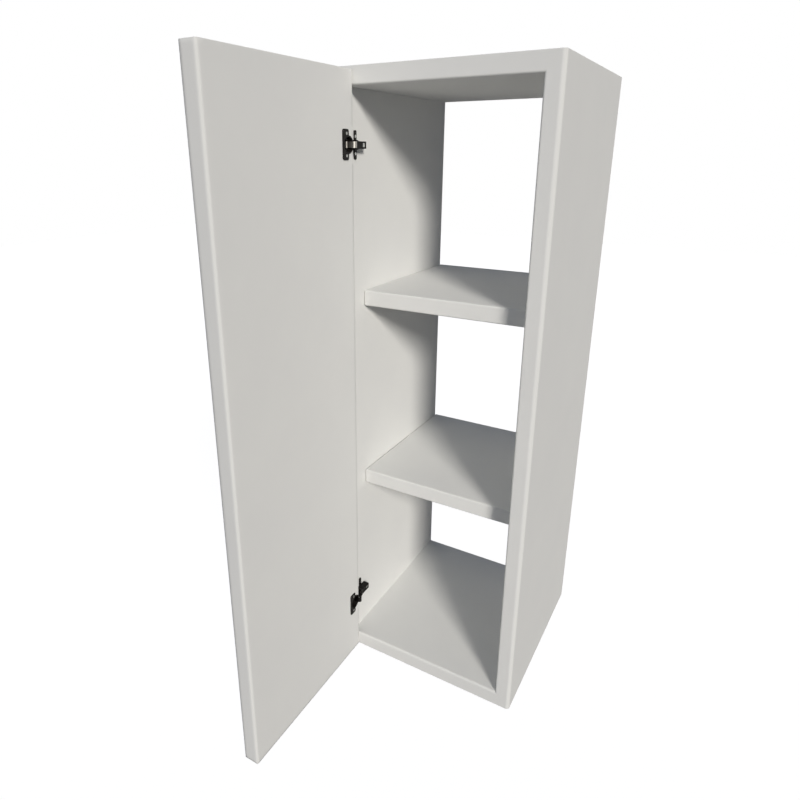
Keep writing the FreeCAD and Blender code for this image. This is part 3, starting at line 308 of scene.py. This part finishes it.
nickel = new_material("nickel_plated_steel")
place = add_node(nickel, "ShaderNodeTexCoord", {})
along = add_node(
    nickel,
    "ShaderNodeMapping",
    {"Scale": (1, 1 / FINE_LINE_STRETCH, 1)},
    {"Vector": place.outputs["Object"]},
)
fine_lines = add_node(
    nickel,
    "ShaderNodeTexNoise",
    {"Scale": 1 / FINE_LINE_PITCH, "Detail": 2.0},
    {"Vector": along.outputs["Vector"]},
)
nickel_colour = add_node(
    nickel,
    "ShaderNodeMix",
    {"data_type": "RGBA", "A": linear(NICKEL), "B": linear(NICKEL_WORN)},
    {"Factor": fine_lines.outputs["Fac"]},
)
nickel_gloss = add_node(
    nickel,
    "ShaderNodeMapRange",
    {"To Min": NICKEL_GLOSSIEST, "To Max": NICKEL_DULLEST},
    {"Value": fine_lines.outputs["Fac"]},
)
plating = add_node(
    nickel,
    "ShaderNodeBsdfPrincipled",
    {"Metallic": 1.0},
    {"Base Color": nickel_colour.outputs["Result"], "Roughness": nickel_gloss.outputs["Result"]},
)
add_node(nickel, "ShaderNodeOutputMaterial", {}, {"Surface": plating.outputs["BSDF"]})
coat(nickel, "upper_shelf_pins", "lower_shelf_pins")

# Shelves: two loose boards of the same lacquered fibreboard, set back from the front edges.
# Each lies on four pins, with a hair of play at its ends, where its edges are rubbed round.
coat(lacquer, "upper_shelf", "lower_shelf")

# Hinge cups and mounting plates: pressed steel, coated black and baked.
# The cups are let into the door and screwed there, and the plates are screwed to the left side's inner face.
# The coat is satin, almost black with a brown cast, and shows a very fine grain.
BLACK_COAT = "#12100F"
BLACK_COAT_RUBBED = "#221F1C"
BLACK_COAT_SHEEN = 0.14
COAT_GRAIN = 0.0007
COAT_GRAIN_HEIGHT = 0.00003

black_steel = new_material("black_coated_steel")
place = add_node(black_steel, "ShaderNodeTexCoord", {})
coat_grain = add_node(
    black_steel,
    "ShaderNodeTexNoise",
    {"Scale": 1 / COAT_GRAIN, "Detail": 3.0},
    {"Vector": place.outputs["Object"]},
)
coat_colour = add_node(
    black_steel,
    "ShaderNodeMix",
    {"data_type": "RGBA", "A": linear(BLACK_COAT), "B": linear(BLACK_COAT_RUBBED)},
    {"Factor": coat_grain.outputs["Fac"]},
)
coat_skin = add_node(
    black_steel,
    "ShaderNodeBump",
    {"Strength": 0.3, "Distance": COAT_GRAIN_HEIGHT},
    {"Height": coat_grain.outputs["Fac"]},
)
black_coat = add_node(
    black_steel,
    "ShaderNodeBsdfPrincipled",
    {"Roughness": 0.5, "IOR": 1.5, "Specular IOR Level": BLACK_COAT_SHEEN},
    {"Base Color": coat_colour.outputs["Result"], "Normal": coat_skin.outputs["Normal"]},
)
add_node(black_steel, "ShaderNodeOutputMaterial", {}, {"Surface": black_coat.outputs["BSDF"]})
coat(black_steel, "upper_hinge_cup", "lower_hinge_cup", "upper_mounting_plate", "lower_mounting_plate")

# Hinge arms: stamped from steel strip, bent in a goose-neck, nickel plated and screwed to the mounting plates.
# Their cut edges are painted near-black, which is painted shade on the faces that stand upright. Round the pin
# the neck is painted a grey shade, which is painted shade where it runs into the cup.
# On the lower arm this painted shade is almost black and reaches further along the neck.
CUT_EDGE_SHADE = "#1D1B19"
CUT_EDGE_SHADE_STARTS = 0.6
CUT_EDGE_SHADE_FULL = 0.8
UPPER_NECK_SHADE = "#95918A"
UPPER_NECK_SHADE_FULL_AT = 0.004
UPPER_NECK_SHADE_END = 0.0135
LOWER_NECK_SHADE = "#262422"
LOWER_NECK_SHADE_FULL_AT = 0.014
LOWER_NECK_SHADE_END = 0.018
PIN_X, PIN_Y = frame["joints"][0]["pos_m"][:2]

# Each arm gets its own copy of the plating with painted shade on its neck, and the lower copy is much darker.
for arm, finish, neck_shade, neck_shade_full_at, neck_shade_end in (
    ("upper_hinge_arm", "nickel_plated_strip", UPPER_NECK_SHADE, UPPER_NECK_SHADE_FULL_AT, UPPER_NECK_SHADE_END),
    ("lower_hinge_arm", "nickel_plated_strip_with_dark_painted_shade", LOWER_NECK_SHADE, LOWER_NECK_SHADE_FULL_AT, LOWER_NECK_SHADE_END),
):
    strip = nickel.copy()
    strip.name = finish
    unshaded_strip_colour = strip.node_tree.nodes[nickel_colour.name].outputs["Result"]
    shown_colour = strip.node_tree.nodes[plating.name].inputs["Base Color"]
    place = add_node(strip, "ShaderNodeTexCoord", {})
    from_pin = add_node(
        strip,
        "ShaderNodeMapping",
        {"Location": (-PIN_X, -PIN_Y, 0), "Scale": (1, 1, 0)},
        {"Vector": place.outputs["Object"]},
    )
    pin_distance = add_node(
        strip, "ShaderNodeVectorMath", {"operation": "LENGTH"}, {"Vector": from_pin.outputs["Vector"]}
    )
    # Painted shade: close to the pin the strip is mixed towards the darker neck tone, which fades out along the
    # neck.
    painted_neck_shade = add_node(
        strip,
        "ShaderNodeMapRange",
        {"From Min": neck_shade_end, "From Max": neck_shade_full_at},
        {"Value": pin_distance.outputs["Value"]},
    )
    shaded_neck_colour = add_node(
        strip,
        "ShaderNodeMix",
        {"data_type": "RGBA", "B": linear(neck_shade)},
        {"Factor": painted_neck_shade.outputs["Result"], "A": unshaded_strip_colour},
    )
    # The strip lies on edge, so its cut edges are the faces whose normal stands upright.
    normal_size = add_node(
        strip, "ShaderNodeVectorMath", {"operation": "ABSOLUTE"}, {"Vector": place.outputs["Normal"]}
    )
    normal_parts = add_node(strip, "ShaderNodeSeparateXYZ", {}, {"Vector": normal_size.outputs["Vector"]})
    # Painted shade: the upright faces, the cut edges, are mixed towards near-black.
    painted_cut_edge_shade = add_node(
        strip,
        "ShaderNodeMapRange",
        {"From Min": CUT_EDGE_SHADE_STARTS, "From Max": CUT_EDGE_SHADE_FULL},
        {"Value": normal_parts.outputs["Z"]},
    )
    strip_colour = add_node(
        strip,
        "ShaderNodeMix",
        {"data_type": "RGBA", "B": linear(CUT_EDGE_SHADE)},
        {"Factor": painted_cut_edge_shade.outputs["Result"], "A": shaded_neck_colour.outputs["Result"]},
    )
    strip.node_tree.links.new(strip_colour.outputs["Result"], shown_colour)
    coat(strip, arm)

# Arm covers: moulded nylon caps that snap over the arms, with a window over the fixing screw.
# The mould was spark eroded, so the skin is a fine even matt, a shade blacker than the coated steel.
NYLON = "#100F0E"
NYLON_DULL = "#1C1A18"
NYLON_SHEEN = 0.14
MOULD_GRIT = 0.0006
MOULD_GRIT_HEIGHT = 0.00004

nylon = new_material("moulded_nylon")
place = add_node(nylon, "ShaderNodeTexCoord", {})
mould_grit = add_node(
    nylon,
    "ShaderNodeTexNoise",
    {"Scale": 1 / MOULD_GRIT, "Detail": 3.0},
    {"Vector": place.outputs["Object"]},
)
nylon_colour = add_node(
    nylon,
    "ShaderNodeMix",
    {"data_type": "RGBA", "A": linear(NYLON), "B": linear(NYLON_DULL)},
    {"Factor": mould_grit.outputs["Fac"]},
)
mould_skin = add_node(
    nylon,
    "ShaderNodeBump",
    {"Strength": 0.4, "Distance": MOULD_GRIT_HEIGHT},
    {"Height": mould_grit.outputs["Fac"]},
)
moulding = add_node(
    nylon,
    "ShaderNodeBsdfPrincipled",
    {"Roughness": 0.55, "IOR": 1.53, "Specular IOR Level": NYLON_SHEEN},
    {"Base Color": nylon_colour.outputs["Result"], "Normal": mould_skin.outputs["Normal"]},
)
add_node(nylon, "ShaderNodeOutputMaterial", {}, {"Surface": moulding.outputs["BSDF"]})
coat(nylon, "upper_arm_cover", "lower_arm_cover")

# Hinge pins and closing springs: hardened spring steel, ground or rolled and left oiled in the cups.
# Each pin crosses its cup through the eye of the arm, and a leaf in the cup keeps the door shut.
# It is a darker, bluish steel with a fine mottled grain.
SPRING_STEEL = "#8B8C90"
SPRING_STEEL_OILED = "#5E5F64"
ROLLED_GRAIN = 0.0005

spring_steel = new_material("spring_steel")
place = add_node(spring_steel, "ShaderNodeTexCoord", {})
rolled_grain = add_node(
    spring_steel,
    "ShaderNodeTexNoise",
    {"Scale": 1 / ROLLED_GRAIN, "Detail": 2.0},
    {"Vector": place.outputs["Object"]},
)
spring_colour = add_node(
    spring_steel,
    "ShaderNodeMix",
    {"data_type": "RGBA", "A": linear(SPRING_STEEL), "B": linear(SPRING_STEEL_OILED)},
    {"Factor": rolled_grain.outputs["Fac"]},
)
oiled_steel = add_node(
    spring_steel,
    "ShaderNodeBsdfPrincipled",
    {"Metallic": 1.0, "Roughness": 0.33},
    {"Base Color": spring_colour.outputs["Result"]},
)
add_node(spring_steel, "ShaderNodeOutputMaterial", {}, {"Surface": oiled_steel.outputs["BSDF"]})
coat(spring_steel, "hinge_pivot_pins", "upper_closing_spring", "lower_closing_spring")

# Door: one slab of the same lacquered board, with its upright edges rounded over and its ends cut square.
# It hangs on the two hinge cups in bores near its edge and has no handle. Along the upright edges and the lower
# end the film is sprayed heavier, so it flows out into a softer bend than the board's own, but not at the cups.
DOOR_FILM_BEND = 0.007
DOOR_FILM_FADE = 0.004
DOOR_FILM_SAMPLES = 8
CUP_MARGIN = 0.024

door_lacquer = lacquer.copy()
door_lacquer.name = "matt_lacquer_flowed_over_edges"
place = add_node(door_lacquer, "ShaderNodeTexCoord", {})
place_parts = add_node(door_lacquer, "ShaderNodeSeparateXYZ", {}, {"Vector": place.outputs["Object"]})

# The bend of the film is full along an edge and gone a little further in.
door_low, door_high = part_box("door_panel")
film_bands = []
for axis, edge, inwards in (("Y", door_low.y, 1), ("Y", door_high.y, -1), ("Z", door_low.z, 1)):
    full = edge + inwards * DOOR_FILM_BEND
    faded = full + inwards * DOOR_FILM_FADE
    film_bands.append(
        add_node(
            door_lacquer,
            "ShaderNodeMapRange",
            {"From Min": faded, "From Max": full, "To Max": DOOR_FILM_BEND},
            {"Value": place_parts.outputs[axis]},
        )
    )
free_edge_film, hinge_edge_film, foot_film = film_bands

# The height from the nearer cup is zero at each cup and largest half-way between the two.
low_cup, high_cup = [sum(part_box(cup), Vector()).z / 2 for cup in ("lower_hinge_cup", "upper_hinge_cup")]
above_low_cup = add_node(
    door_lacquer,
    "ShaderNodeMath",
    {"operation": "SUBTRACT", 1: low_cup},
    {0: place_parts.outputs["Z"]},
)
from_cup = add_node(
    door_lacquer,
    "ShaderNodeMath",
    {"operation": "PINGPONG", 1: (high_cup - low_cup) / 2},
    {0: above_low_cup.outputs["Value"]},
)
clear_of_cup = add_node(
    door_lacquer,
    "ShaderNodeMath",
    {"operation": "GREATER_THAN", 1: CUP_MARGIN},
    {0: from_cup.outputs["Value"]},
)
hinge_side_film = add_node(
    door_lacquer,
    "ShaderNodeMath",
    {"operation": "MULTIPLY"},
    {0: hinge_edge_film.outputs["Result"], 1: clear_of_cup.outputs["Value"]},
)
upright_film = add_node(
    door_lacquer,
    "ShaderNodeMath",
    {"operation": "MAXIMUM"},
    {0: free_edge_film.outputs["Result"], 1: hinge_side_film.outputs["Value"]},
)
door_film = add_node(
    door_lacquer,
    "ShaderNodeMath",
    {"operation": "MAXIMUM"},
    {0: foot_film.outputs["Result"], 1: upright_film.outputs["Value"]},
)
film_bend = add_node(
    door_lacquer, "ShaderNodeBevel", {"samples": DOOR_FILM_SAMPLES}, {"Radius": door_film.outputs["Value"]}
)
door_skin = door_lacquer.node_tree.nodes[lacquer_skin.name]
door_lacquer.node_tree.links.new(film_bend.outputs["Normal"], door_skin.inputs["Normal"])
coat(door_lacquer, "door_panel")

# Studio floor: a seamless paper sheet, well below the cabinet, which hangs at its usual height.
# To the camera it is as white as the backdrop, less the little light that the cabinet's shadow takes away.
WHITE = "#FFFFFF"
FLOOR_DROP = 1.3
FLOOR_SIZE = 30.0
FLOOR_COLOUR = "#6E6E70"
FLOOR_GLOW = 0.9


def seen_by_camera(owner):
    """Tell what the camera sees, straight, mirrored or through glass, from light that falls on the cabinet."""
    ray = add_node(owner, "ShaderNodeLightPath", {})
    straight_or_mirrored = add_node(
        owner,
        "ShaderNodeMath",
        {"operation": "MAXIMUM"},
        {0: ray.outputs["Is Camera Ray"], 1: ray.outputs["Is Glossy Ray"]},
    )
    return add_node(
        owner,
        "ShaderNodeMath",
        {"operation": "MAXIMUM"},
        {0: straight_or_mirrored.outputs["Value"], 1: ray.outputs["Is Transmission Ray"]},
    )


floor_mesh = bpy.data.meshes.new("studio_floor")
sheet = bmesh.new()
bmesh.ops.create_grid(sheet, x_segments=1, y_segments=1, size=FLOOR_SIZE / 2)
bmesh.ops.translate(sheet, verts=sheet.verts, vec=(0, 0, cad_box[0][2] - FLOOR_DROP))
sheet.to_mesh(floor_mesh)
sheet.free()
floor = bpy.data.objects.new("studio_floor", floor_mesh)
bpy.context.scene.collection.objects.link(floor)

paper = new_material("studio_paper")
floor_seen = seen_by_camera(paper)
glow = add_node(
    paper, "ShaderNodeMath", {"operation": "MULTIPLY", 1: FLOOR_GLOW}, {0: floor_seen.outputs["Value"]}
)
sheet_surface = add_node(
    paper,
    "ShaderNodeBsdfPrincipled",
    {"Base Color": linear(FLOOR_COLOUR), "Roughness": 0.9, "Emission Color": linear(WHITE)},
    {"Emission Strength": glow.outputs["Value"]},
)
add_node(paper, "ShaderNodeOutputMaterial", {}, {"Surface": sheet_surface.outputs["BSDF"]})
floor_mesh.materials.append(paper)

# Backdrop: plain white to the camera and in reflections.
# As light it is a dim, slightly blue room with two broad windows, one ahead of the cabinet and one behind it on
# the left, which lightens the far sides, still grey, and reaches inside through the open back.
ROOM_LIGHT = "#CDDFFF"
BACKDROP_STRENGTH = 1.0
AHEAD_WINDOW_FROM = Vector((0.0, -0.7, 0.714))
AHEAD_WINDOW_STRENGTH = 0.24
REAR_WINDOW_FROM = Vector((-0.34, 0.94, 0.0))
REAR_WINDOW_STRENGTH = 0.3

world = bpy.data.worlds.new("white_studio")
bpy.context.scene.world = world
world.use_nodes = True
world.node_tree.nodes.clear()
backdrop_seen = seen_by_camera(world)
direction = add_node(world, "ShaderNodeTexCoord", {})
window_lights = []
for window_from, window_strength in (
    (AHEAD_WINDOW_FROM, AHEAD_WINDOW_STRENGTH),
    (REAR_WINDOW_FROM, REAR_WINDOW_STRENGTH),
):
    towards_window = add_node(
        world,
        "ShaderNodeVectorMath",
        {"operation": "DOT_PRODUCT", 1: window_from},
        {0: direction.outputs["Generated"]},
    )
    window_lights.append(
        add_node(
            world,
            "ShaderNodeMapRange",
            {"To Max": window_strength},
            {"Value": towards_window.outputs["Value"]},
        )
    )
ahead_window, rear_window = window_lights
room_light = add_node(
    world,
    "ShaderNodeMath",
    {"operation": "ADD"},
    {0: ahead_window.outputs["Result"], 1: rear_window.outputs["Result"]},
)
strength = add_node(
    world,
    "ShaderNodeMix",
    {"data_type": "FLOAT", "B": BACKDROP_STRENGTH},
    {"Factor": backdrop_seen.outputs["Value"], "A": room_light.outputs["Value"]},
)
tint = add_node(
    world,
    "ShaderNodeMix",
    {"data_type": "RGBA", "A": linear(ROOM_LIGHT), "B": linear(WHITE)},
    {"Factor": backdrop_seen.outputs["Value"]},
)
backdrop = add_node(
    world,
    "ShaderNodeBackground",
    {},
    {"Color": tint.outputs["Result"], "Strength": strength.outputs["Result"]},
)
add_node(world, "ShaderNodeOutputWorld", {}, {"Surface": backdrop.outputs["Background"]})

# Key light: a fairly hard, even beam from far off, to the right of the camera and above it.
# It throws the top panel's shadow down the left side and the right side's shadow across the shelves.
LAMP_DISTANCE = 3


def set_up_lamp(name, comes_from, spread, strength, colour):
    """Stand a lamp with an even beam on the side that its light comes from."""
    lamp = bpy.data.lights.new(name, "SUN")
    lamp.angle = math.radians(spread)
    lamp.energy = strength
    lamp.color = linear(colour)[:3]
    stand = bpy.data.objects.new(name, lamp)
    bpy.context.scene.collection.objects.link(stand)
    stand.location = comes_from * LAMP_DISTANCE
    stand.rotation_euler = (-comes_from).to_track_quat("-Z", "Y").to_euler()


set_up_lamp(
    "key_light", comes_from=Vector((0.663, -0.626, 0.41)), spread=12, strength=2.95, colour="#FFFBF5"
)

# Fill light: a weak, level beam from the left and a little behind, which lifts the far sides to a mid grey.
# It meets no face that the camera sees, and reaches the inside only by way of the right side's inner face.
set_up_lamp("fill_light", comes_from=Vector((-0.89, 0.45, 0.0)), spread=20, strength=1.05, colour="#FFF6EC")

# Camera: in front of the cabinet, to its right and level with its top bay, looking down into it.
# Its place, lens and shift were worked out from the corners of the cabinet in the photograph.
CAMERA_PLACE = Vector((0.34205, -1.00829, -0.04585))
CAMERA_DIRECTION = Vector((-0.48384, 0.81339, -0.32295))
CAMERA_SENSOR = 36
CAMERA_LENS = 27.57
CAMERA_SHIFT = (0.02774, -0.04508)

camera = bpy.data.cameras.new("camera")
camera.sensor_width = CAMERA_SENSOR
camera.lens = CAMERA_LENS
camera.shift_x, camera.shift_y = CAMERA_SHIFT
camera_stand = bpy.data.objects.new("camera", camera)
bpy.context.scene.collection.objects.link(camera_stand)
camera_stand.location = CAMERA_PLACE
camera_stand.rotation_euler = CAMERA_DIRECTION.to_track_quat("-Z", "Y").to_euler()
bpy.context.scene.camera = camera_stand
bpy.context.scene.view_settings.view_transform = "Standard"
